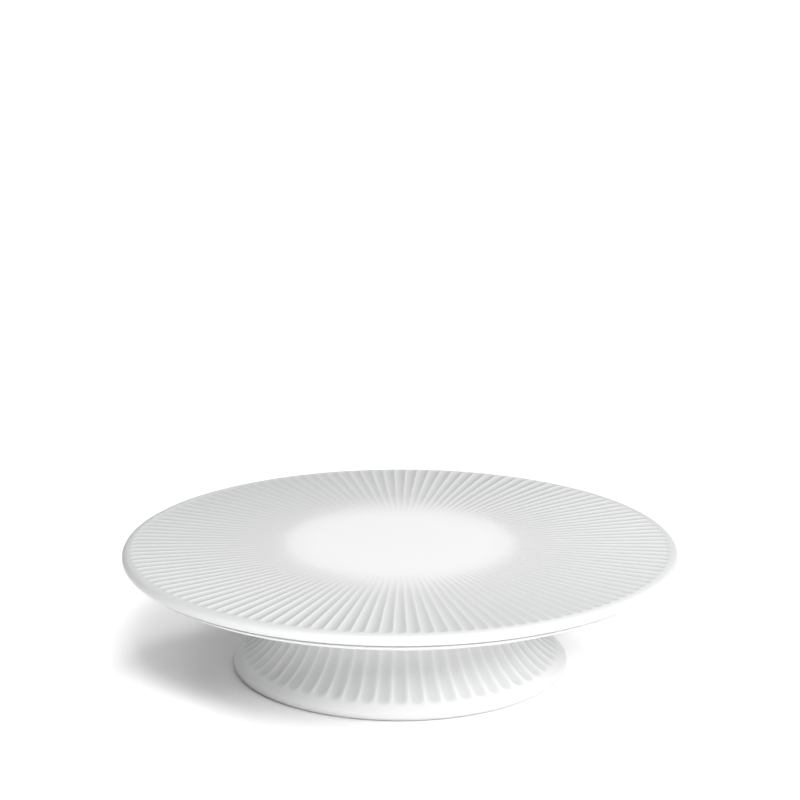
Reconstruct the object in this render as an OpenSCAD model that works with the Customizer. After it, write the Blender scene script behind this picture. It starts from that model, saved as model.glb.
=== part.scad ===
// Low fluted cake stand in glazed porcelain: a round serving plate with
// radial flutes on a flared, fluted foot, joined by a ring of clay slip.
// Millimetres, +Z up. The foot ring rests on the surface at z = 0 and the
// axis of the stand is the Z axis.

/* [Overall] */
// Outside diameter of the plate
plate_diameter = 300; // [240:1:360]
// Height of the serving face above the surface
stand_height = 68.2; // [56:0.1:90]
// Outside diameter of the foot at the base
foot_diameter = 182; // [140:1:220]

/* [Plate] */
// Thickness of the plate between its rim and its middle
plate_thickness = 7; // [5.5:0.1:9]
// Half thickness of the rounded rim
rim_radius = 2.9; // [2.2:0.1:3.6]
// Radius of the gentle roll from the serving face into the rim
shoulder_radius = 30; // [18:1:45]
// Width of that roll, measured inwards from the middle of the rim
shoulder_width = 6.1; // [4:0.1:8]
// Depth of the edge band under the rim, below the serving face
band_depth = 11.2; // [9:0.1:13]
// Radial width of the edge band under the rim
band_width = 7; // [5:0.1:10]
// Depth of the shadow groove between the rim and the band
shadow_depth = 1.6; // [1:0.1:2.5]
// Opening of that groove
shadow_gap = 1; // [0.6:0.1:1.6]

/* [Plate flutes] */
// Number of flutes on the serving face
plate_flutes = 132; // [96:1:160]
// Radius of the hollow of one flute
plate_flute_radius = 7; // [6:0.1:9]
// Depth of a flute near the rim
plate_flute_depth = 0.85; // [0.5:0.01:1]
// Distance from the rim to the toes of the flutes
plate_flute_margin = 4; // [3:0.1:8]
// Radius of the smooth middle, where the flutes start
smooth_radius = 58; // [40:1:90]

/* [Foot] */
// Radius of the foot at its waist
waist_radius = 61.5; // [48:0.5:75]
// Height of the waist above the surface
waist_height = 49.5; // [42:0.5:54]
// Height of the smooth skirt under the flutes
skirt_height = 8.7; // [5:0.1:14]
// Distance from the outside of the base in to the top of the skirt
skirt_inset = 6; // [4:0.1:9]
// Rounding of the outside of the base
base_rounding = 2.8; // [1.5:0.1:4]
// Thickness of the wall of the foot
foot_wall = 5.4; // [4.4:0.1:7]

/* [Foot flutes] */
// Number of flutes around the foot
foot_flutes = 60; // [40:1:80]
// Radius of the hollow of one flute
foot_flute_radius = 8; // [7:0.1:11]
// Width of the plain ridge between two flutes
foot_ridge = 0.4; // [0.2:0.05:1]

/* [Slip seam] */
// Depth of the locating groove under the plate
groove_depth = 1; // [0.6:0.1:2]
// Room for slip on each side of the neck in the groove
groove_clearance = 0.8; // [0.4:0.1:1.5]
// Thickness of the bed of slip on top of the neck
bed_thickness = 0.4; // [0.2:0.1:0.8]
// Radius of the slip fillets against the underside of the plate
fillet_radius = 2.2; // [1.5:0.1:4]

/* [Hidden] */
$fn = 96;
eps = 0.01;

plate_radius = plate_diameter / 2;
foot_radius = foot_diameter / 2;
underside_z = stand_height - plate_thickness;

// rim of the plate: a bead that the shoulder meets in a smooth curve
rim_r = plate_radius - rim_radius;
shoulder_r = rim_r - shoulder_width;
rim_drop = shoulder_radius
    - sqrt(pow(shoulder_radius - rim_radius, 2) - pow(shoulder_width, 2));
rim_z = stand_height - rim_drop;
meet_r = shoulder_r
    + shoulder_radius * shoulder_width / (shoulder_radius - rim_radius);

// edge band: a bead under the rim, with a sloping face on each side
band_bead = 2;
band_r = rim_r - 0.6;
band_z = rim_z - rim_radius - shadow_gap;
shadow_r = rim_r - shadow_depth;
bead_r = rim_r - band_width;
bead_z = stand_height - band_depth + band_bead;
inner_r = bead_r - 6.2;

// flutes of the plate
flute_toe_r = plate_radius - plate_flute_margin;
flute_end_r = flute_toe_r - 2.6;
flute_tilt = atan(plate_flute_depth / (flute_end_r - smooth_radius));
flute_rise = 0.25;

// flare of the foot: an arc from the waist out to the top of the skirt
toe_r = foot_radius - skirt_inset;
flare_dr = toe_r - waist_radius;
flare_dz = waist_height - skirt_height;
flare_radius = (flare_dr * flare_dr + flare_dz * flare_dz) / (2 * flare_dr);
flare_angle = asin(flare_dz / flare_radius);
flare_r = waist_radius + flare_radius;

// base of the foot: a rounded edge under the skirt
skirt_bead = [foot_radius - base_rounding, base_rounding];
ring_inner = foot_radius - 8;

// flutes of the foot: the floor of a flute is an arc through three points,
// each deep enough to leave only the plain ridge between two flutes
flute_mid = flare_angle * 0.5;
toe_turn = 5;
toe_ball = foot_flute_radius + 3;
floor_arc = arc_through(
    flute_floor(0), flute_floor(flute_mid), flute_floor(flare_angle - toe_turn));
flute_path = floor_arc[2] - foot_flute_radius;
flute_high = asin(11 / floor_arc[2]);
flute_low = flare_angle - toe_turn;

// neck of the foot, groove and slip
neck_outer = waist_radius;
neck_inner = waist_radius - foot_wall;
neck_top = underside_z + groove_depth - bed_thickness;
groove_top = underside_z + groove_depth;
groove_outer = neck_outer + groove_clearance;
groove_inner = neck_inner - groove_clearance;

// where the tangent from point p touches a circle: side is 1 or -1
function tangent(p, c, r, side) =
    let (
        v = c - p,
        d = norm(v),
        a = atan2(v[1], v[0]) + side * asin(r / d),
        l = sqrt(d * d - r * r)
    )
    [p[0] + l * cos(a), p[1] + l * sin(a)];

// centre and radius of the arc through three points
function arc_through(a, b, c) =
    let (
        p = b - a,
        q = c - a,
        k = 2 * (p[0] * q[1] - p[1] * q[0]),
        x = (q[1] * (p * p) - p[1] * (q * q)) / k,
        y = (p[0] * (q * q) - q[0] * (p * p)) / k
    )
    [a[0] + x, a[1] + y, norm([x, y])];

// point on the floor of a flute, at an angle down the flare from the waist
function flute_floor(turn) =
    let (
        r = flare_r - flare_radius * cos(turn),
        z = waist_height - flare_radius * sin(turn),
        half = r * PI / foot_flutes - foot_ridge / 2,
        sag = foot_flute_radius - sqrt(pow(foot_flute_radius, 2) - half * half),
        depth = sag + half * half * cos(turn) / (2 * r)
    )
    [r - depth * cos(turn), z - depth * sin(turn)];

module at(r, z) {
    translate([r, z])
        children();
}

module box2(r0, r1, z0, z1) {
    translate([r0, z0])
        square([r1 - r0, z1 - z0]);
}

// half section of the plate without its flutes
module plate_section() {
    difference() {
        union() {
            box2(0, shoulder_r + eps, underside_z, stand_height);
            intersection() {
                at(shoulder_r, stand_height - shoulder_radius)
                    circle(r = shoulder_radius, $fn = 180);
                box2(shoulder_r, meet_r, rim_z, stand_height);
            }
            box2(inner_r, shadow_r, underside_z, rim_z + eps);
            at(rim_r, rim_z)
                circle(r = rim_radius);
            at(bead_r, bead_z)
                circle(r = band_bead);
            polygon([
                [inner_r, underside_z],
                tangent([inner_r, underside_z], [bead_r, bead_z], band_bead, -1),
                [bead_r, bead_z],
                tangent([band_r, band_z], [bead_r, bead_z], band_bead, 1),
                [band_r, band_z],
                [shadow_r, band_z],
                [shadow_r, rim_z],
                [inner_r, rim_z]
            ]);
        }
        box2(groove_inner, groove_outer, underside_z - 1, groove_top);
    }
}

// one flute cutter: a thin slice of a rod with a round end
module plate_flute() {
    reach = flute_end_r - smooth_radius;
    translate([smooth_radius, 0, stand_height])
        rotate([0, flute_tilt, 0])
            intersection() {
                translate([0, 0, plate_flute_radius])
                    rotate([0, 90, 0])
                        rotate_extrude()
                            intersection() {
                                union() {
                                    box2(0, plate_flute_radius, -6, reach);
                                    at(0, reach)
                                        circle(r = plate_flute_radius);
                                }
                                box2(0, plate_flute_radius, -6, reach + 8);
                            }
                translate([-7, -6, -1])
                    cube([reach + 16, 12, 1 + flute_rise]);
            }
}

module plate() {
    color([0.95, 0.95, 0.94])
        difference() {
            rotate_extrude($fn = 180)
                plate_section();
            for (i = [0 : plate_flutes - 1])
                rotate([0, 0, i * 360 / plate_flutes])
                    plate_flute();
        }
}

// half section of the foot without its flutes
module foot_section() {
    difference() {
        union() {
            polygon([
                [neck_inner, 0],
                [skirt_bead[0], 0],
                skirt_bead,
                tangent([toe_r, skirt_height], skirt_bead, base_rounding, 1),
                [toe_r, skirt_height],
                [toe_r, waist_height],
                [neck_outer, waist_height],
                [neck_outer, neck_top],
                [neck_inner, neck_top]
            ]);
            at(skirt_bead[0], skirt_bead[1])
                circle(r = base_rounding);
        }
        at(flare_r, waist_height)
            circle(r = flare_radius, $fn = 180);
        foot_hollow();
    }
}

// hollow of the foot: the flare again, one wall further in
module foot_hollow() {
    difference() {
        polygon([
            [neck_inner - 5, -1],
            [ring_inner, -1],
            [ring_inner, waist_height],
            [neck_inner, waist_height],
            [neck_inner - 5, waist_height]
        ]);
        at(flare_r, waist_height)
            circle(r = flare_radius + foot_wall, $fn = 180);
    }
}

// share of one flute: a wedge that stops just short of its neighbours
module foot_share() {
    share = tan(180 / foot_flutes);
    linear_extrude(height = stand_height)
        polygon([
            [45, 0.05 - 45 * share],
            [110, 0.05 - 110 * share],
            [110, 110 * share - 0.05],
            [45, 45 * share - 0.05]
        ]);
}

// hollow of one flute: part of a ring that follows the flare
module foot_flute() {
    intersection() {
        translate([floor_arc[0], 0, floor_arc[1]])
            rotate([90, 0, 0])
                rotate([0, 0, 180 - flute_high])
                    rotate_extrude(angle = flute_high + flute_low)
                        at(flute_path, 0)
                            circle(r = foot_flute_radius);
        foot_share();
    }
}

// round toe of one flute: a ball, a little wider and deeper than the hollow
module foot_toe() {
    path = floor_arc[2] - toe_ball + 0.08;
    intersection() {
        translate([
            floor_arc[0] - path * cos(flute_low),
            0,
            floor_arc[1] - path * sin(flute_low)
        ])
            sphere(r = toe_ball);
        foot_share();
    }
}

module foot() {
    color([0.93, 0.93, 0.92])
        difference() {
            difference() {
                rotate_extrude($fn = 180)
                    foot_section();
                for (i = [0 : foot_flutes - 1])
                    rotate([0, 0, i * 360 / foot_flutes])
                        foot_flute();
            }
            for (i = [0 : foot_flutes - 1])
                rotate([0, 0, i * 360 / foot_flutes])
                    foot_toe();
        }
}

// half section of the slip: bed, both sides of the groove and two fillets
module slip_section() {
    difference() {
        union() {
            box2(groove_inner, groove_outer, underside_z - eps, groove_top);
            box2(neck_inner - fillet_radius, neck_outer + fillet_radius,
                underside_z - fillet_radius, underside_z);
        }
        box2(neck_inner, neck_outer, underside_z - fillet_radius - 1, neck_top);
        at(neck_outer + fillet_radius, underside_z - fillet_radius)
            circle(r = fillet_radius);
        at(neck_inner - fillet_radius, underside_z - fillet_radius)
            circle(r = fillet_radius);
    }
}

module slip_seam() {
    color([0.88, 0.87, 0.85])
        rotate_extrude($fn = 180)
            slip_section();
}

plate();
foot();
slip_seam();
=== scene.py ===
"""Low round cake stand in white glazed porcelain, with its studio.

A serving plate with radial flutes stands on a flared, fluted foot, and a
ring of clay slip joins the two.  Lengths are metres, +Z is up and the foot
ring rests on z = 0.  Each piece is revolved from its outline, and Geometry
Nodes carve the flutes into it.
"""

import logging
import math
from abc import ABC, abstractmethod
from dataclasses import dataclass, field
from enum import Enum
from typing import Any, Sequence, Union

import bmesh
import bpy
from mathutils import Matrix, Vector


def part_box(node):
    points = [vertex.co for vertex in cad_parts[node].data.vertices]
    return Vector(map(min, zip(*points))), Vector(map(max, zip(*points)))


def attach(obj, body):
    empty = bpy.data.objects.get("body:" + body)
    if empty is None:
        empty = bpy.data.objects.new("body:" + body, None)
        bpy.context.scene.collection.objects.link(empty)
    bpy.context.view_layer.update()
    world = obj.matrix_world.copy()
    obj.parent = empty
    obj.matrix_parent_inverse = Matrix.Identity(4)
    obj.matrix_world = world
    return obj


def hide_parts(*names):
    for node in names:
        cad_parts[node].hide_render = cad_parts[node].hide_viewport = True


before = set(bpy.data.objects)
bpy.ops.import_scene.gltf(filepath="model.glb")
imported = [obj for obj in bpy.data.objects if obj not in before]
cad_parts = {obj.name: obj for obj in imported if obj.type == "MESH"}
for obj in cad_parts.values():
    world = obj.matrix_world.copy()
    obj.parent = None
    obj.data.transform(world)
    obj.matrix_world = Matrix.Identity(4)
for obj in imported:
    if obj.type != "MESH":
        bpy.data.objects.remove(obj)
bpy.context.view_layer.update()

PLATE_LOW, PLATE_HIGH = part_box("plate")
_, FOOT_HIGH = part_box("foot")
_, SLIP_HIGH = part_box("slip_seam")

MM = 0.001
LOG = logging.getLogger("cake_stand")

Point = tuple[float, float]
Value = Union["Socket", float, int, Sequence[float], bpy.types.Material]


# --------------------------------------------------------------------------
# Node graphs
# --------------------------------------------------------------------------


@dataclass(frozen=True)
class Socket:
    """A node's output that takes part in Python expressions.

    Attributes:
        graph: The graph that the output belongs to.
        link: The node socket itself.
    """

    graph: "Graph"
    link: bpy.types.NodeSocket

    def __add__(self, other: Value) -> "Socket":
        """Return self + other."""
        return self.graph.math("ADD", self, other)

    __radd__ = __add__

    def __sub__(self, other: Value) -> "Socket":
        """Return self - other."""
        return self.graph.math("SUBTRACT", self, other)

    def __rsub__(self, other: Value) -> "Socket":
        """Return other - self."""
        return self.graph.math("SUBTRACT", other, self)

    def __mul__(self, other: Value) -> "Socket":
        """Return self * other."""
        return self.graph.math("MULTIPLY", self, other)

    __rmul__ = __mul__

    def __truediv__(self, other: Value) -> "Socket":
        """Return self / other."""
        return self.graph.math("DIVIDE", self, other)

    def __rtruediv__(self, other: Value) -> "Socket":
        """Return other / self."""
        return self.graph.math("DIVIDE", other, self)

    def __neg__(self) -> "Socket":
        """Return -self."""
        return self.graph.math("MULTIPLY", self, -1.0)


class Graph:
    """Builds the nodes of one shader or geometry tree."""

    def __init__(self, tree: bpy.types.NodeTree) -> None:
        """Start on a tree.

        Args:
            tree: The tree that the nodes go into.
        """
        self.tree = tree

    def node(
        self,
        kind: str,
        settings: dict[str, Any] | None = None,
        inputs: dict[str | int, Value] | None = None,
    ) -> bpy.types.Node:
        """Add a node.

        Args:
            kind: The node's type name.
            settings: Its properties, set first; "stops" holds a ramp's stops
                as (position, colour) pairs.
            inputs: Values or links of its input sockets, by name or number.

        Returns:
            The new node.
        """
        made = self.tree.nodes.new(kind)
        for name, value in (settings or {}).items():
            if name == "stops":
                ramp = made.color_ramp.elements
                while len(ramp) < len(value):
                    ramp.new(0.5)
                for stop, (place, colour) in zip(ramp, value):
                    stop.position, stop.color = place, colour
            else:
                setattr(made, name, value)
        for name, value in (inputs or {}).items():
            socket = made.inputs[name]
            if isinstance(value, Socket):
                self.tree.links.new(value.link, socket)
            else:
                socket.default_value = value
        return made

    def get(
        self,
        kind: str,
        settings: dict[str, Any] | None = None,
        inputs: dict[str | int, Value] | None = None,
        output: str | int = 0,
    ) -> Socket:
        """Add a node and return one of its outputs.

        Args:
            kind: The node's type name.
            settings: Its properties.
            inputs: Values or links of its input sockets.
            output: Name or number of the output.

        Returns:
            The output, ready for expressions.
        """
        return Socket(self, self.node(kind, settings, inputs).outputs[output])

    def math(self, operation: str, *values: Value, clamp: bool = False) -> Socket:
        """Return the result of a Math node.

        Args:
            operation: The node's operation.
            *values: Its operands.
            clamp: Whether the result is kept between 0 and 1.

        Returns:
            The result.
        """
        return self.get(
            "ShaderNodeMath",
            {"operation": operation, "use_clamp": clamp},
            dict(enumerate(values)),
        )

    def vector(self, operation: str, *values: Value, output: int = 0) -> Socket:
        """Return an output of a Vector Math node.

        Args:
            operation: The node's operation.
            *values: Its operands, in order.
            output: 0 for a vector result, 1 for a number.

        Returns:
            The chosen output.
        """
        return self.get(
            "ShaderNodeVectorMath",
            {"operation": operation},
            dict(enumerate(values)),
            output,
        )

    def scaled(self, vector: Value, factor: Value) -> Socket:
        """Return a vector times a number.

        Args:
            vector: The vector.
            factor: The number.

        Returns:
            The scaled vector.
        """
        return self.get(
            "ShaderNodeVectorMath",
            {"operation": "SCALE"},
            {"Vector": vector, "Scale": factor},
        )

    def xyz(self, x: Value, y: Value, z: Value) -> Socket:
        """Return a vector made of three numbers."""
        return self.get("ShaderNodeCombineXYZ", None, {0: x, 1: y, 2: z})

    def parts(self, vector: Value) -> tuple[Socket, Socket, Socket]:
        """Return the three numbers of a vector."""
        made = self.node("ShaderNodeSeparateXYZ", None, {0: vector})
        x, y, z = (Socket(self, out) for out in made.outputs)
        return x, y, z

    def step(self, value: Value, low: float, high: float) -> Socket:
        """Return a soft step of a value.

        Args:
            value: The value.
            low: Where the step starts from 0.
            high: Where it reaches 1.

        Returns:
            The step, between 0 and 1.
        """
        return self.get(
            "ShaderNodeMapRange",
            {"interpolation_type": "SMOOTHSTEP"},
            {"Value": value, "From Min": low, "From Max": high},
        )

    def blend(self, factor: Value, first: Value, second: Value) -> Socket:
        """Return a mix of two colours.

        Args:
            factor: 0 for the first colour, 1 for the second.
            first: The first colour.
            second: The second colour.

        Returns:
            The mixed colour.
        """
        made = self.node("ShaderNodeMix", {"data_type": "RGBA"})
        for name, value in zip((0, 6, 7), (factor, first, second)):
            if isinstance(value, Socket):
                self.tree.links.new(value.link, made.inputs[name])
            else:
                made.inputs[name].default_value = value
        return Socket(self, made.outputs[2])


# --------------------------------------------------------------------------
# Outlines and revolved bodies
# --------------------------------------------------------------------------


@dataclass
class Outline:
    """Half section of a body of revolution, as (radius, height) points.

    Attributes:
        points: The points so far, from the top of the axis outwards and round.
    """

    points: list[Point] = field(default_factory=list)

    def to(self, r: float, z: float, steps: int = 1) -> "Outline":
        """Go straight to a point.

        Args:
            r: Radius of the point.
            z: Height of the point.
            steps: Number of equal steps on the way.

        Returns:
            The outline itself.
        """
        if self.points:
            r0, z0 = self.points[-1]
            for i in range(1, steps + 1):
                t = i / steps
                self.points.append((r0 + (r - r0) * t, z0 + (z - z0) * t))
        else:
            self.points.append((r, z))
        return self

    def arc(
        self, r: float, z: float, radius: float, start: float, end: float, steps: int
    ) -> "Outline":
        """Go along an arc.

        Args:
            r: Radius of the arc's centre.
            z: Height of the arc's centre.
            radius: Radius of the arc.
            start: Angle of its first point, in degrees from outwards.
            end: Angle of its last point.
            steps: Number of steps.

        Returns:
            The outline itself.
        """
        for i in range(steps + 1):
            a = math.radians(start + (end - start) * i / steps)
            spot = (r + radius * math.cos(a), z + radius * math.sin(a))
            if not self.points or math.dist(spot, self.points[-1]) > 1e-6:
                self.points.append(spot)
        return self


def tangent(start: Point, centre: Point, radius: float, side: int) -> Point:
    """Find where the tangent from a point touches a circle.

    Args:
        start: The point.
        centre: Centre of the circle.
        radius: Radius of the circle.
        side: 1 or -1, for the two tangents.

    Returns:
        The touching point.
    """
    dr, dz = centre[0] - start[0], centre[1] - start[1]
    reach = math.hypot(dr, dz)
    a = math.atan2(dz, dr) + side * math.asin(radius / reach)
    length = math.sqrt(reach * reach - radius * radius)
    return start[0] + length * math.cos(a), start[1] + length * math.sin(a)


def arc_through(a: Point, b: Point, c: Point) -> tuple[Point, float]:
    """Find the arc through three points.

    Args:
        a: The first point.
        b: The second point.
        c: The third point.

    Returns:
        The arc's centre and its radius.
    """
    pr, pz, qr, qz = b[0] - a[0], b[1] - a[1], c[0] - a[0], c[1] - a[1]
    scale = 2 * (pr * qz - pz * qr)
    p2, q2 = pr * pr + pz * pz, qr * qr + qz * qz
    r, z = (qz * p2 - pz * q2) / scale, (pr * q2 - qr * p2) / scale
    return (a[0] + r, a[1] + z), math.hypot(r, z)


def bearing(centre: Point, spot: Point) -> float:
    """Return the angle of a point seen from a centre, in degrees."""
    return math.degrees(math.atan2(spot[1] - centre[1], spot[0] - centre[0]))


def flute_columns(count: int, places: Sequence[float]) -> list[float]:
    """List the angles of the columns of a fluted body.

    Args:
        count: Number of flutes.
        places: Places across one flute, from -1 at a ridge to under 1.

    Returns:
        Angles in radians; a flute's middle lies at 0.
    """
    pitch = math.tau / count
    return [(i + p / 2) * pitch for i in range(count) for p in places]


def revolve(
    name: str, outline: Outline, columns: Sequence[float], closed: bool
) -> bpy.types.Object:
    """Revolve an outline round Z into a closed mesh.

    Args:
        name: Name of the object.
        outline: The half section.
        columns: Angles of the columns.
        closed: True when the outline is a loop, False when it starts and
            ends on the axis.

    Returns:
        The new object, linked to the scene.
    """
    turns = [(math.cos(a), math.sin(a)) for a in columns]
    wide = len(turns)
    verts: list[tuple[float, float, float]] = []
    rows: list[list[int]] = []
    for r, z in outline.points:
        first = len(verts)
        if r < 1e-7:
            verts.append((0.0, 0.0, z))
            rows.append([first] * wide)
        else:
            verts.extend((r * c, r * s, z) for c, s in turns)
            rows.append(list(range(first, first + wide)))
    faces: list[tuple[int, ...]] = []
    pairs = list(zip(rows, rows[1:] + rows[:1] if closed else rows[1:]))
    for upper, lower in pairs:
        for i in range(wide):
            j = (i + 1) % wide
            loop = (upper[i], lower[i], lower[j], upper[j])
            faces.append(tuple(dict.fromkeys(loop)))
    mesh = bpy.data.meshes.new(name)
    mesh.from_pydata(verts, [], faces)
    shell = bmesh.new()
    shell.from_mesh(mesh)
    bmesh.ops.recalc_face_normals(shell, faces=shell.faces)
    shell.to_mesh(mesh)
    shell.free()
    made = bpy.data.objects.new(name, mesh)
    bpy.context.scene.collection.objects.link(made)
    return made


def smooth(obj: bpy.types.Object, sharp: float) -> None:
    """Shade a piece smooth, apart from its sharp edges.

    Args:
        obj: The piece.
        sharp: Edges that turn by more than this many degrees stay sharp.
    """
    obj.data.shade_smooth()
    obj.data.set_sharp_from_angle(angle=math.radians(sharp))


# --------------------------------------------------------------------------
# Flutes
# --------------------------------------------------------------------------


@dataclass(frozen=True)
class Fluting(ABC):
    """Rule for hollow flutes that are spaced evenly round the axis.

    Each flute is what a round tool leaves when its middle runs along a path
    in the plane through the flute and the axis.

    Attributes:
        count: Number of flutes.
        hollow: Radius of the tool.
        ridge: How far the glaze rounds the ridge between two flutes.
        edge: How far it rounds the edge where a flute runs out.
    """

    count: int
    hollow: float
    ridge: float
    edge: float

    @abstractmethod
    def nearest(self, graph: Graph, spot: Socket, sizes: dict[str, Socket]) -> Socket:
        """Return the point of the tool's path nearest to a spot.

        Args:
            graph: The geometry graph.
            spot: A point in the flute's own plane, X outwards.
            sizes: The tree's named inputs.

        Returns:
            The nearest point.
        """

    @abstractmethod
    def sizes(self) -> dict[str, float]:
        """Return the named sizes of the tool's path."""

    def carve(
        self, piece: bpy.types.Object, material: bpy.types.Material
    ) -> bpy.types.Object:
        """Cut the flutes into a piece with Geometry Nodes.

        Args:
            piece: The blank, which is used up.
            material: The finish that the piece gets.

        Returns:
            The carved piece as a plain mesh object.
        """
        tree = bpy.data.node_groups.new(f"{piece.name}_flutes", "GeometryNodeTree")
        face = tree.interface
        face.new_socket("Geometry", in_out="INPUT", socket_type="NodeSocketGeometry")
        values: dict[str, float | int] = {
            "Flute Count": self.count,
            "Hollow Radius": self.hollow,
            "Ridge Rounding": self.ridge,
            "Edge Rounding": self.edge,
            **self.sizes(),
        }
        keys: dict[str, str] = {}
        for label, value in values.items():
            kind = "NodeSocketInt" if isinstance(value, int) else "NodeSocketFloat"
            made = face.new_socket(label, in_out="INPUT", socket_type=kind)
            keys[label] = made.identifier
        finish = face.new_socket(
            "Glaze", in_out="INPUT", socket_type="NodeSocketMaterial"
        )
        face.new_socket("Geometry", in_out="OUTPUT", socket_type="NodeSocketGeometry")
        self._fill(Graph(tree))
        modifier = piece.modifiers.new("flutes", "NODES")
        modifier.node_group = tree
        for label, value in values.items():
            modifier[keys[label]] = value
        modifier[finish.identifier] = material
        return self._plain(piece)

    def _fill(self, graph: Graph) -> None:
        """Build the nodes that carve the flutes.

        Args:
            graph: The empty geometry graph.
        """
        ports = graph.node("NodeGroupInput").outputs
        sizes = {port.name: Socket(graph, port) for port in ports if port.name}
        x, y, z = graph.parts(graph.get("GeometryNodeInputPosition"))
        radius = graph.math("SQRT", x * x + y * y)
        pitch = math.tau / sizes["Flute Count"]
        turn = graph.math("ARCTAN2", y, x) / pitch
        local = graph.math("ABSOLUTE", turn - graph.math("ROUND", turn)) * pitch
        own, beside = (
            self._depth(graph, radius, angle, z, sizes)
            for angle in (local, pitch - local)
        )
        joined = graph.math("SMOOTH_MAX", own, beside, sizes["Ridge Rounding"])
        depth = graph.math("SMOOTH_MAX", joined, 0.0, sizes["Edge Rounding"])
        crest = graph.math(
            "SUBTRACT",
            1.0,
            (own - beside) / (sizes["Ridge Rounding"] * 4.0),
            clamp=True,
        )
        fluted = graph.math("GREATER_THAN", own, 0.0)
        inwards = graph.scaled(graph.get("GeometryNodeInputNormal"), -depth)
        geometry = sizes["Geometry"]
        # The carve depth and a ridge mask are stored for the shader, which uses them
        # for painted shade in the hollows and painted highlights on the ridges.
        for label, amount in (
            ("pool", depth / MM),
            ("crest", crest * fluted),
        ):
            geometry = graph.get(
                "GeometryNodeStoreNamedAttribute",
                {"data_type": "FLOAT", "domain": "POINT"},
                {"Geometry": geometry, "Name": label, "Value": amount},
            )
        moved = graph.get(
            "GeometryNodeSetPosition",
            None,
            {"Geometry": geometry, "Offset": inwards},
        )
        single = graph.get("GeometryNodeRealizeInstances", None, {"Geometry": moved})
        dressed = graph.get(
            "GeometryNodeSetMaterial",
            None,
            {"Geometry": single, "Material": sizes["Glaze"]},
        )
        graph.node("NodeGroupOutput", None, {"Geometry": dressed})

    def _depth(
        self,
        graph: Graph,
        radius: Socket,
        angle: Socket,
        z: Socket,
        sizes: dict[str, Socket],
    ) -> Socket:
        """Return how deep a point lies inside one flute's tool.

        Args:
            graph: The geometry graph.
            radius: Distance of the point from the axis.
            angle: Its angle from the middle of the flute.
            z: Its height.
            sizes: The tree's named inputs.

        Returns:
            The depth, above zero inside the tool.
        """
        spot = graph.xyz(
            radius * graph.math("COSINE", angle),
            radius * graph.math("SINE", angle),
            z,
        )
        gap = graph.vector(
            "DISTANCE", spot, self.nearest(graph, spot, sizes), output=1
        )
        return sizes["Hollow Radius"] - gap

    @staticmethod
    def _plain(piece: bpy.types.Object) -> bpy.types.Object:
        """Turn a piece and its modifier into a plain mesh object.

        Args:
            piece: The piece with its modifier, which is removed.

        Returns:
            The same object with the evaluated mesh.
        """
        graph = bpy.context.evaluated_depsgraph_get()
        mesh = bpy.data.meshes.new_from_object(piece.evaluated_get(graph))
        piece.modifiers.clear()
        blank, piece.data = piece.data, mesh
        bpy.data.meshes.remove(blank)
        mesh.name = piece.name
        return piece


@dataclass(frozen=True)
class StraightFluting(Fluting):
    """Flutes of a tool that runs straight outwards, sinking as it goes.

    Attributes:
        start: Radius where the tool first touches the face.
        stop: Radius where the middle of the tool stops.
        face: Height of the face.
        sink: Depth of a flute at the stop.
    """

    start: float
    stop: float
    face: float
    sink: float

    def sizes(self) -> dict[str, float]:
        """Return the named sizes of the tool's path."""
        return {
            "Start Radius": self.start,
            "Stop Radius": self.stop,
            "Face Height": self.face,
            "Sink": self.sink,
        }

    def nearest(self, graph: Graph, spot: Socket, sizes: dict[str, Socket]) -> Socket:
        """Return the point of the straight path nearest to a spot.

        Args:
            graph: The geometry graph.
            spot: A point in the flute's own plane, X outwards.
            sizes: The tree's named inputs.

        Returns:
            The nearest point.
        """
        height = sizes["Face Height"] + sizes["Hollow Radius"]
        first = graph.xyz(sizes["Start Radius"], 0.0, height)
        last = graph.xyz(sizes["Stop Radius"], 0.0, height - sizes["Sink"])
        way = graph.vector("SUBTRACT", last, first)
        length = graph.vector("LENGTH", way, output=1)
        ahead = graph.vector("NORMALIZE", way)
        gone = graph.vector(
            "DOT_PRODUCT", graph.vector("SUBTRACT", spot, first), ahead, output=1
        )
        held = graph.math("MINIMUM", gone, length)
        return graph.vector("ADD", first, graph.scaled(ahead, held))


@dataclass(frozen=True)
class FlaredFluting(Fluting):
    """Flutes of a tool that follows the flare of a foot down to its toes.

    Attributes:
        centre_r: Distance of the path's centre from the axis.
        centre_z: Height of the path's centre.
        path: Radius of the path.
        stop: Angle below level where the tool stops, in radians.
    """

    centre_r: float
    centre_z: float
    path: float
    stop: float

    def sizes(self) -> dict[str, float]:
        """Return the named sizes of the tool's path."""
        return {
            "Flare Centre Radius": self.centre_r,
            "Flare Centre Height": self.centre_z,
            "Path Radius": self.path,
            "Toe Angle": self.stop,
        }

    def nearest(self, graph: Graph, spot: Socket, sizes: dict[str, Socket]) -> Socket:
        """Return the point of the curved path nearest to a spot.

        Args:
            graph: The geometry graph.
            spot: A point in the flute's own plane, X outwards.
            sizes: The tree's named inputs.

        Returns:
            The nearest point.
        """
        x, _, z = graph.parts(spot)
        across = sizes["Flare Centre Radius"] - x
        down = sizes["Flare Centre Height"] - z
        fall = graph.math("ARCTAN2", down, across)
        held = graph.math("MINIMUM", fall, sizes["Toe Angle"])
        path = sizes["Path Radius"]
        return graph.xyz(
            sizes["Flare Centre Radius"] - path * graph.math("COSINE", held),
            0.0,
            sizes["Flare Centre Height"] - path * graph.math("SINE", held),
        )


# --------------------------------------------------------------------------
# Finishes
# --------------------------------------------------------------------------


class RingCare(Enum):
    """How the glaze ends at the bottom of a piece."""

    COVERED = "glazed all over"
    WIPED = "glaze wiped off the ring that the piece stands on"


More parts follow.
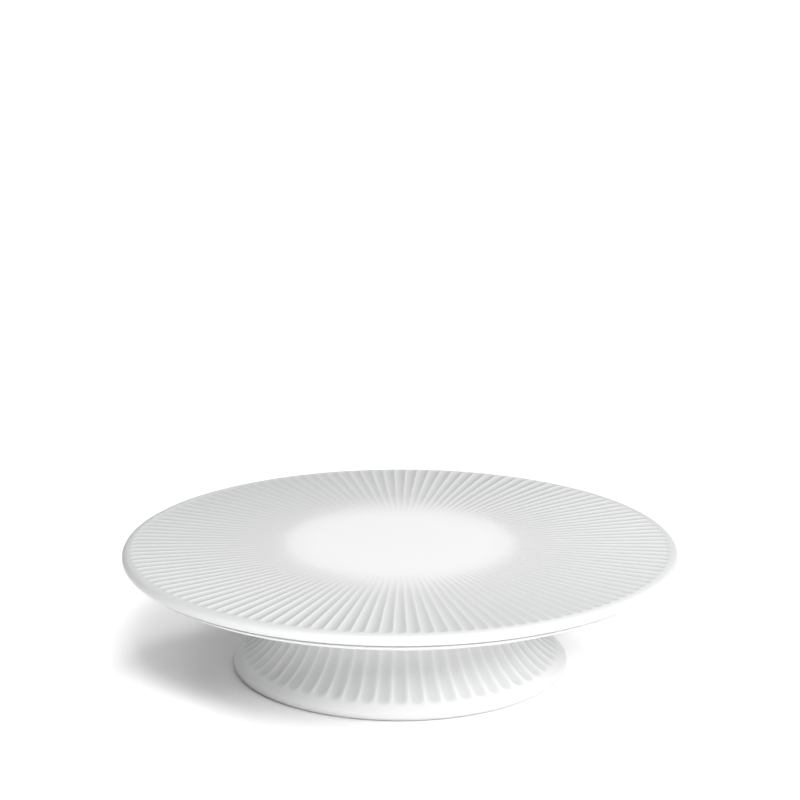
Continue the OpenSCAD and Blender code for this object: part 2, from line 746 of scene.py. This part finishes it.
@dataclass(frozen=True)
class PorcelainGlaze:
    """Clear gloss glaze over white porcelain.

    The colours and the gloss differ by area only to reach the wanted light
    levels under this studio's lamps. They don't stand for different glazes.

    Attributes:
        middle: Colour of the smooth middle, tuned lighter than the rest as a painted
            highlight that stands in for the glaze's bright reflection there.
        body: Colour of the rest of the glazed body.
        pooled_glaze_and_shade: Colour in the hollow of a flute: partly glaze lying
            thick there, partly painted shade.
        thin_glaze_and_highlight: Colour over a ridge: partly glaze drawn thin there,
            partly a painted highlight.
        bare: Colour of the unglazed body.
        highlight_from: Radius where the painted highlight of the middle starts to
            fade.
        highlight_to: Radius where it has faded into the body colour.
        roughness: Roughness of the glazed surface.
        coat: Strength of the gloss layer in the smooth middle.
        coat_outside: Its strength outside the middle.
        coat_roughness: Roughness of the gloss layer.
        ripple: Height of the faint waves that firing leaves.
        peel: Height of the fine unevenness of the glaze.
    """

    middle: tuple[float, float, float, float] = (0.94, 0.94, 0.94, 1.0)
    body: tuple[float, float, float, float] = (0.78, 0.785, 0.785, 1.0)
    pooled_glaze_and_shade: tuple[float, float, float, float] = (0.67, 0.68, 0.685, 1.0)
    thin_glaze_and_highlight: tuple[float, float, float, float] = (0.85, 0.848, 0.845, 1.0)
    bare: tuple[float, float, float, float] = (0.72, 0.69, 0.64, 1.0)
    highlight_from: float = 44 * MM
    highlight_to: float = 96 * MM
    roughness: float = 0.5
    coat: float = 1.0
    coat_outside: float = 0.0
    coat_roughness: float = 0.08
    ripple: float = 0.05 * MM
    peel: float = 0.004 * MM

    def material(self, name: str, ring: RingCare) -> bpy.types.Material:
        """Build the finish of one piece.

        Args:
            name: Name of the material.
            ring: Whether the ring that the piece stands on is wiped bare.

        Returns:
            The material.
        """
        made = bpy.data.materials.new(name)
        made.use_nodes = True
        made.node_tree.nodes.clear()
        graph = Graph(made.node_tree)
        place = graph.get("ShaderNodeTexCoord", output="Object")
        pool = self._attribute(graph, "pool")
        crest = self._attribute(graph, "crest")
        cloud = self._noise(graph, place, 45.0, 3.0)
        wave = self._noise(graph, place, 28.0, 1.0)
        grain = self._noise(graph, place, 420.0, 2.0)

        # Painted shade, partly glaze pooling: the flutes' hollows are darkened more
        # the deeper they are carved.
        pooling_and_shade = graph.math("MULTIPLY", pool, 0.75 + 0.5 * cloud, clamp=True)
        x, y, z = graph.parts(place)
        radius = graph.math("SQRT", x * x + y * y)
        # Painted highlight: near the axis the colour is lighter, and it fades into
        # the body colour further out.
        outer = graph.step(radius, self.highlight_from, self.highlight_to)
        colour = graph.blend(outer, self.middle, self.body)
        colour = graph.blend(pooling_and_shade * outer, colour, self.pooled_glaze_and_shade)
        # Painted highlight, partly thin glaze: the ridges between flutes are coloured
        # lighter.
        colour = graph.blend(crest * 0.8, colour, self.thin_glaze_and_highlight)
        rough = self.roughness + (cloud - 0.5) * 0.06 - pooling_and_shade * 0.04
        height = wave * self.ripple + grain * self.peel
        coat = self.coat - (self.coat - self.coat_outside) * outer
        if ring is RingCare.WIPED:
            edge = z + (cloud - 0.5) * 0.5 * MM
            wiped = 1.0 - graph.step(edge, 0.25 * MM, 0.6 * MM)
            sand = self._noise(graph, place, 2600.0, 2.0)
            speck = 0.9 + 0.15 * sand
            bare = graph.scaled(self.bare[:3], speck)
            colour = graph.blend(wiped, colour, bare)
            rough = rough + wiped * (0.82 - self.roughness)
            height = height + wiped * sand * 0.03 * MM
            coat = coat * (1.0 - wiped)
        relief = graph.get(
            "ShaderNodeBump",
            None,
            {"Height": height, "Distance": 1.0, "Strength": 1.0},
            "Normal",
        )
        surface = graph.get(
            "ShaderNodeBsdfPrincipled",
            None,
            {
                "Base Color": colour,
                "Roughness": rough,
                "IOR": 1.5,
                "Specular IOR Level": 0.15,
                "Coat Weight": coat,
                "Coat Roughness": self.coat_roughness,
                "Coat IOR": 1.5,
                "Normal": relief,
            },
        )
        graph.node("ShaderNodeOutputMaterial", None, {"Surface": surface})
        return made

    @staticmethod
    def _attribute(graph: Graph, name: str) -> Socket:
        """Return a number that Geometry Nodes stored on the piece."""
        return graph.get("ShaderNodeAttribute", {"attribute_name": name}, None, "Fac")

    @staticmethod
    def _noise(graph: Graph, place: Socket, scale: float, detail: float) -> Socket:
        """Return a noise on a piece's own coordinates.

        Args:
            graph: The shader graph.
            place: Object coordinates, in metres.
            scale: Waves to a metre.
            detail: Octaves.

        Returns:
            The noise.
        """
        return graph.get(
            "ShaderNodeTexNoise",
            None,
            {"Vector": place, "Scale": scale, "Detail": detail, "Roughness": 0.5},
        )


# --------------------------------------------------------------------------
# The pieces
# --------------------------------------------------------------------------


@dataclass
class Piece(ABC):
    """One piece of the stand.

    Attributes:
        glaze: The piece's finish.
    """

    glaze: PorcelainGlaze = field(default_factory=PorcelainGlaze)

    @abstractmethod
    def build(self) -> bpy.types.Object:
        """Build and dress the piece."""

    def place(self, obj: bpy.types.Object, node: str, slot: str) -> None:
        """Put a finished piece in the frame.

        Args:
            obj: The piece.
            node: The CAD node that it stands for.
            slot: The record's material slot; not used.
        """
        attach(obj, "root")
        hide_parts(node)
        LOG.info(
            "%s: %d faces, %.1f mm across, %.1f mm high",
            obj.name,
            len(obj.data.polygons),
            obj.dimensions.x / MM,
            obj.dimensions.z / MM,
        )


@dataclass
class Plate(Piece):
    """The serving plate: a fluted disc with a rounded rim and an edge band.

    Attributes:
        radius: Outside radius.
        face: Height of the serving face.
        band_base: Height of the lowest edge of the band.
        thickness: Thickness of the plate inside the band.
        rim: Half thickness of the rounded rim.
        shoulder: Radius of the roll from the face into the rim.
        shoulder_width: Width of that roll.
        bead: Rounding of the lower edge of the band.
        band_width: Width of the band under the rim.
        shadow_depth: Depth of the groove between the rim and the band.
        shadow_gap: Height of that groove.
        groove_out: Outer radius of the locating groove.
        groove_in: Inner radius of the locating groove.
        groove_top: Height of the groove's ceiling.
        flutes: Number of flutes.
        across: Places of the columns over one flute, from edge to edge.
    """

    radius: float = PLATE_HIGH.x
    face: float = PLATE_HIGH.z
    band_base: float = PLATE_LOW.z
    thickness: float = 7.0 * MM
    rim: float = 2.9 * MM
    shoulder: float = 30.0 * MM
    shoulder_width: float = 6.1 * MM
    bead: float = 2.0 * MM
    band_width: float = 7.0 * MM
    shadow_depth: float = 1.6 * MM
    shadow_gap: float = 1.0 * MM
    groove_out: float = 62.3 * MM
    groove_in: float = 55.3 * MM
    groove_top: float = SLIP_HIGH.z
    flutes: int = 132
    across: tuple[float, ...] = (
        -1.0,
        -0.94,
        -0.84,
        -0.66,
        -0.36,
        0.0,
        0.36,
        0.66,
        0.84,
        0.94,
    )

    def fluting(self) -> StraightFluting:
        """Return the rule of the plate's flutes."""
        return StraightFluting(
            count=self.flutes,
            hollow=7.0 * MM,
            ridge=0.2 * MM,
            edge=0.2 * MM,
            start=58.0 * MM,
            stop=self.radius - 6.6 * MM,
            face=self.face,
            sink=0.85 * MM,
        )

    def outline(self) -> Outline:
        """Return the half section, from the middle of the face round."""
        under = self.face - self.thickness
        rim_r = self.radius - self.rim
        shoulder_r = rim_r - self.shoulder_width
        reach = self.shoulder - self.rim
        rim_z = self.face - self.shoulder
        rim_z += math.sqrt(reach**2 - self.shoulder_width**2)
        turn = math.degrees(math.asin(self.shoulder_width / reach))
        rule = self.fluting()
        lip = (rim_r - 0.6 * MM, rim_z - self.rim - self.shadow_gap)
        slot_r = rim_r - self.shadow_depth
        bead = (rim_r - self.band_width, self.band_base + self.bead)
        hollow = (bead[0] - 6.2 * MM, under)
        outer = tangent(lip, bead, self.bead, 1)
        inner = tangent(hollow, bead, self.bead, -1)
        line = Outline()
        line.to(0.0, self.face).to(0.02, self.face).to(0.045, self.face)
        line.to(rule.start, self.face, 2).to(0.08, self.face, 6)
        line.to(rule.stop - 3 * MM, self.face, 9).to(shoulder_r, self.face, 2)
        middle_z = self.face - self.shoulder
        line.arc(shoulder_r, middle_z, self.shoulder, 90, 90 - turn, 12)
        under_rim = -90 - math.degrees(math.asin(self.shadow_depth / self.rim))
        line.arc(rim_r, rim_z, self.rim, 90 - turn, under_rim, 15)
        line.to(slot_r, lip[1]).to(lip[0] - 0.25 * MM, lip[1])
        line.arc(lip[0] - 0.25 * MM, lip[1] - 0.25 * MM, 0.25 * MM, 90, -50, 3)
        line.to(*outer, 2)
        line.arc(*bead, self.bead, bearing(bead, outer), bearing(bead, inner), 5)
        line.to(*hollow)
        line.to(self.groove_out, under).to(self.groove_out, self.groove_top)
        line.to(self.groove_in, self.groove_top).to(self.groove_in, under)
        line.to(0.0, under)
        return line

    def build(self) -> bpy.types.Object:
        """Build, carve and glaze the plate."""
        columns = flute_columns(self.flutes, self.across)
        blank = revolve("serving_plate", self.outline(), columns, False)
        glaze = self.glaze.material("plate_porcelain", RingCare.COVERED)
        plate = self.fluting().carve(blank, glaze)
        smooth(plate, 40.0)
        self.place(plate, "plate", "plate_glaze")
        return plate


@dataclass
class Foot(Piece):
    """The flared foot: a fluted trumpet on a smooth skirt.

    Attributes:
        radius: Outside radius of the base.
        top: Height of the top of the neck.
        waist: Radius of the waist.
        waist_z: Height of the waist.
        skirt: Height of the skirt under the flutes.
        inset: Distance from the outside of the base in to the skirt's top.
        rounding: Rounding of the base.
        wall: Thickness of the wall.
        ring: Width of the ring that the foot stands on.
        flutes: Number of flutes.
        hollow: Radius of the tool that cuts a flute.
        crest: Width of the plain ridge left between two flutes.
        toe_turn: Angle from the skirt up to the flutes' ends, in degrees.
        across: Places of the columns over one flute, from edge to edge.
        glaze: The foot's own finish, tuned lighter than the plate's as painted light
            on the same porcelain.
    """

    # Painted light: the foot gets lighter colours than the plate, though both are the
    # same porcelain.
    glaze: PorcelainGlaze = PorcelainGlaze(
        body=(0.86, 0.86, 0.86, 1.0),
        pooled_glaze_and_shade=(0.73, 0.735, 0.74, 1.0),
        thin_glaze_and_highlight=(0.97, 0.97, 0.965, 1.0),
    )
    radius: float = FOOT_HIGH.x
    top: float = FOOT_HIGH.z
    waist: float = 61.5 * MM
    waist_z: float = 49.5 * MM
    skirt: float = 8.7 * MM
    inset: float = 6.0 * MM
    rounding: float = 2.8 * MM
    wall: float = 5.4 * MM
    ring: float = 8.0 * MM
    flutes: int = 60
    hollow: float = 8.0 * MM
    crest: float = 0.1 * MM
    toe_turn: float = 5.0
    across: tuple[float, ...] = (
        -1.0,
        -0.95,
        -0.86,
        -0.7,
        -0.48,
        -0.24,
        0.0,
        0.24,
        0.48,
        0.7,
        0.86,
        0.95,
    )

    @property
    def flare(self) -> float:
        """Radius of the flare."""
        dr = self.radius - self.inset - self.waist
        dz = self.waist_z - self.skirt
        return (dr * dr + dz * dz) / (2 * dr)

    @property
    def toe_angle(self) -> float:
        """Angle of the flare at the top of the skirt, in radians."""
        return math.asin((self.waist_z - self.skirt) / self.flare)

    def fluting(self) -> FlaredFluting:
        """Return the rule of the foot's flutes."""
        low = self.toe_angle - math.radians(self.toe_turn)
        centre, reach = arc_through(
            self.flute_floor(0.0),
            self.flute_floor(self.toe_angle / 2),
            self.flute_floor(low),
        )
        return FlaredFluting(
            count=self.flutes,
            hollow=self.hollow,
            ridge=0.25 * MM,
            edge=0.45 * MM,
            centre_r=centre[0],
            centre_z=centre[1],
            path=reach - self.hollow,
            stop=low,
        )

    def flute_floor(self, turn: float) -> Point:
        """Return the lowest point of a flute.

        Args:
            turn: Angle down the flare from the waist, in radians.

        Returns:
            The radius and height of that point.
        """
        r = self.waist + self.flare * (1 - math.cos(turn))
        z = self.waist_z - self.flare * math.sin(turn)
        half = math.pi * r / self.flutes - self.crest / 2
        depth = self.hollow - math.sqrt(self.hollow**2 - half**2)
        depth += half**2 * math.cos(turn) / (2 * r)
        return r - depth * math.cos(turn), z - depth * math.sin(turn)

    def outline(self) -> Outline:
        """Return the closed half section, from the top of the neck round."""
        centre = (self.waist + self.flare, self.waist_z)
        bead = (self.radius - self.rounding, self.rounding)
        toe = (self.radius - self.inset, self.skirt)
        edge = tangent(toe, bead, self.rounding, 1)
        turn = math.degrees(self.toe_angle)
        inside = self.flare + self.wall
        ring_in = self.radius - self.ring
        base = math.degrees(math.acos((centre[0] - ring_in) / inside))
        line = Outline()
        line.to(self.waist - self.wall, self.top)
        line.to(self.waist, self.top).to(self.waist, self.waist_z, 8)
        line.arc(*centre, self.flare, 180, 180 + turn * 0.8, 20)
        line.arc(*centre, self.flare, 180 + turn * 0.8, 180 + turn, 12)
        line.to(*edge, 3)
        line.arc(*bead, self.rounding, bearing(bead, edge), -90, 9)
        line.to(ring_in + 0.8 * MM, 0.0, 2)
        line.to(ring_in, 0.8 * MM)
        line.arc(*centre, inside, 180 + base, 180, 14)
        return line

    def build(self) -> bpy.types.Object:
        """Build, carve and glaze the foot."""
        columns = flute_columns(self.flutes, self.across)
        blank = revolve("flared_foot", self.outline(), columns, True)
        glaze = self.glaze.material("foot_porcelain", RingCare.WIPED)
        foot = self.fluting().carve(blank, glaze)
        smooth(foot, 40.0)
        self.place(foot, "foot", "foot_glaze")
        return foot


@dataclass
class SlipSeam(Piece):
    """The ring of clay slip that joins the foot to the plate.

    Attributes:
        outer: Radius of the neck's outside.
        inner: Radius of the neck's inside.
        fillet: Radius of the two fillets.
        bed: Thickness of the bed under the plate.
        groove: Depth of the locating groove.
        side: Thickness of the slip on each side of the neck.
        top: Height of the top of the bed of slip.
        columns: Number of columns round the ring.
    """

    outer: float = 61.5 * MM
    inner: float = 56.1 * MM
    fillet: float = 2.2 * MM
    bed: float = 0.4 * MM
    groove: float = 1.0 * MM
    side: float = 0.8 * MM
    top: float = SLIP_HIGH.z
    columns: int = 240

    def build(self) -> bpy.types.Object:
        """Build and glaze the seam."""
        under = self.top - self.groove
        low = under - self.fillet
        line = Outline()
        line.to(self.inner, self.top - self.bed).to(self.inner, low)
        line.arc(self.inner - self.fillet, low, self.fillet, 0, 90, 8)
        line.to(self.inner - self.side, under).to(self.inner - self.side, self.top)
        line.to(self.outer + self.side, self.top).to(self.outer + self.side, under)
        line.arc(self.outer + self.fillet, low, self.fillet, 90, 180, 8)
        line.to(self.outer, self.top - self.bed)
        turns = [math.tau * i / self.columns for i in range(self.columns)]
        seam = revolve("slip_ring", line, turns, True)
        seam.data.materials.append(
            self.glaze.material("slip_porcelain", RingCare.COVERED)
        )
        smooth(seam, 40.0)
        self.place(seam, "slip_seam", "slip_glaze")
        return seam


# --------------------------------------------------------------------------
# The studio
# --------------------------------------------------------------------------


class Reach(Enum):
    """What a lamp lights."""

    ALL = "the stand and the floor"
    FLOOR = "the floor alone, with the stand's shadow on it"
    STAND = "the stand alone"


@dataclass(frozen=True)
class SoftLight:
    """One soft lamp, aimed at the stand.

    Attributes:
        name: Name of the lamp.
        azimuth: Degrees to the right of the camera.
        elevation: Degrees above level.
        distance: Distance from the aim, in metres.
        width: Width of the panel.
        height: Height of the panel.
        power: Power in watts.
        aim: Height of the aim.
        reach: What it lights.
        spread: Spread of its beam, in degrees.
    """

    name: str
    azimuth: float
    elevation: float
    distance: float
    width: float
    height: float
    power: float
    aim: float = 0.05
    reach: Reach = Reach.ALL
    spread: float = 180.0

    def build(self, floor: bpy.types.Object) -> None:
        """Hang the lamp.

        Args:
            floor: The studio's floor.
        """
        lamp = bpy.data.lights.new(self.name, "AREA")
        lamp.shape = "RECTANGLE"
        lamp.size, lamp.size_y = self.width, self.height
        lamp.energy = self.power
        lamp.spread = math.radians(self.spread)
        a, e = math.radians(self.azimuth), math.radians(self.elevation)
        back = Vector(
            (math.sin(a) * math.cos(e), -math.cos(a) * math.cos(e), math.sin(e))
        )
        panel = bpy.data.objects.new(self.name, lamp)
        panel.location = Vector((0, 0, self.aim)) + back * self.distance
        panel.rotation_mode = "QUATERNION"
        panel.rotation_quaternion = (-back).to_track_quat("-Z", "Y")
        panel.visible_camera = False
        if self.reach is not Reach.ALL:
            lit = bpy.data.collections.new(f"{self.name}_lights")
            lit.objects.link(floor)
            panel.light_linking.receiver_collection = lit
            state = "INCLUDE" if self.reach is Reach.FLOOR else "EXCLUDE"
            lit.collection_objects[0].light_linking.link_state = state
        bpy.context.scene.collection.objects.link(panel)


@dataclass
class Studio:
    """White sweep, lamps and camera.

    Attributes:
        distance: Distance of the camera from the middle of the plate.
        elevation: Its angle above the plate, in degrees.
        rise: How far its aim is raised over the middle of the plate.
        lens: Focal length in millimetres.
        sky: Strength of the surround.
        floor_tone: Brightness of the floor.
        lamps: The lamps.
    """

    distance: float = 1.4
    elevation: float = 17.46
    rise: float = 3.16
    lens: float = 116.1
    sky: float = 0.17
    floor_tone: float = 0.93
    lamps: tuple[SoftLight, ...] = (
        SoftLight("key", 25, 31, 2.2, 0.5, 0.5, 25),
        SoftLight("front", 0, 50, 2.2, 0.5, 0.5, 19),
        SoftLight("side", 80, 25, 1.6, 0.6, 0.3, 4),
        SoftLight("rear", 165, 42, 2.2, 0.5, 0.5, 7),
        SoftLight("back", 180, 17.5, 2.0, 1.6, 0.35, 1.9),
        SoftLight("wash", 0, 85, 2.0, 1.5, 1.5, 14, reach=Reach.FLOOR),
        SoftLight("floor_left", -90, 58, 1.6, 0.45, 0.45, 4.2, reach=Reach.FLOOR),
        SoftLight("floor_right", 85, 22, 1.2, 0.4, 0.2, 6, reach=Reach.FLOOR),
    )

    def camera(self) -> None:
        """Set up the camera."""
        lens = bpy.data.cameras.new("camera")
        lens.lens = self.lens
        lens.sensor_width = 36.0
        lens.clip_start, lens.clip_end = 0.05, 60.0
        holder = bpy.data.objects.new("camera", lens)
        e = math.radians(self.elevation)
        middle = Vector((0.0, 0.0, PLATE_HIGH.z))
        away = Vector((0.0, -math.cos(e), math.sin(e)))
        holder.location = middle + away * self.distance
        tilt = self.elevation - self.rise
        holder.rotation_euler = (math.radians(90.0 - tilt), 0.0, 0.0)
        bpy.context.scene.collection.objects.link(holder)
        bpy.context.scene.camera = holder

    def surround(self) -> None:
        """Fill the surround with soft white."""
        world = bpy.data.worlds.new("studio")
        world.use_nodes = True
        world.node_tree.nodes.clear()
        graph = Graph(world.node_tree)
        seen = graph.get("ShaderNodeLightPath", output="Is Camera Ray")
        strength = self.sky + seen * (1.05 - self.sky)
        light = graph.get(
            "ShaderNodeBackground",
            None,
            {"Color": (1.0, 1.0, 1.0, 1.0), "Strength": strength},
        )
        graph.node("ShaderNodeOutputWorld", None, {"Surface": light})
        bpy.context.scene.world = world

    def floor(self) -> bpy.types.Object:
        """Lay the white floor, which fades into the surround."""
        mesh = bpy.data.meshes.new("floor")
        side = 15.0
        corners = [(-side, -side), (side, -side), (side, side), (-side, side)]
        mesh.from_pydata([(x, y, 0.0) for x, y in corners], [], [(0, 1, 2, 3)])
        floor = bpy.data.objects.new("floor", mesh)
        bpy.context.scene.collection.objects.link(floor)
        made = bpy.data.materials.new("studio_floor")
        made.use_nodes = True
        made.node_tree.nodes.clear()
        graph = Graph(made.node_tree)
        place = graph.get("ShaderNodeTexCoord", output="Object")
        away = graph.vector("LENGTH", place, output=1)
        tone = self.floor_tone
        near = graph.get(
            "ShaderNodeBsdfDiffuse", None, {"Color": (tone, tone, tone, 1.0)}
        )
        far = graph.get(
            "ShaderNodeEmission",
            None,
            {"Color": (1.0, 1.0, 1.0, 1.0), "Strength": 1.05},
        )
        mixed = graph.get(
            "ShaderNodeMixShader",
            None,
            {0: graph.step(away, 0.3, 0.6), 1: near, 2: far},
        )
        graph.node("ShaderNodeOutputMaterial", None, {"Surface": mixed})
        mesh.materials.append(made)
        return floor

    def build(self) -> None:
        """Set up the whole studio."""
        self.camera()
        self.surround()
        floor = self.floor()
        for lamp in self.lamps:
            lamp.build(floor)
        bpy.context.scene.view_settings.view_transform = "Standard"


def main() -> None:
    """Build the stand and its studio."""
    logging.basicConfig(level=logging.INFO, format="%(name)s: %(message)s")
    studio = Studio()
    studio.build()
    for piece in (Plate(), Foot(), SlipSeam()):
        piece.build()


if __name__ == "__main__":
    main()
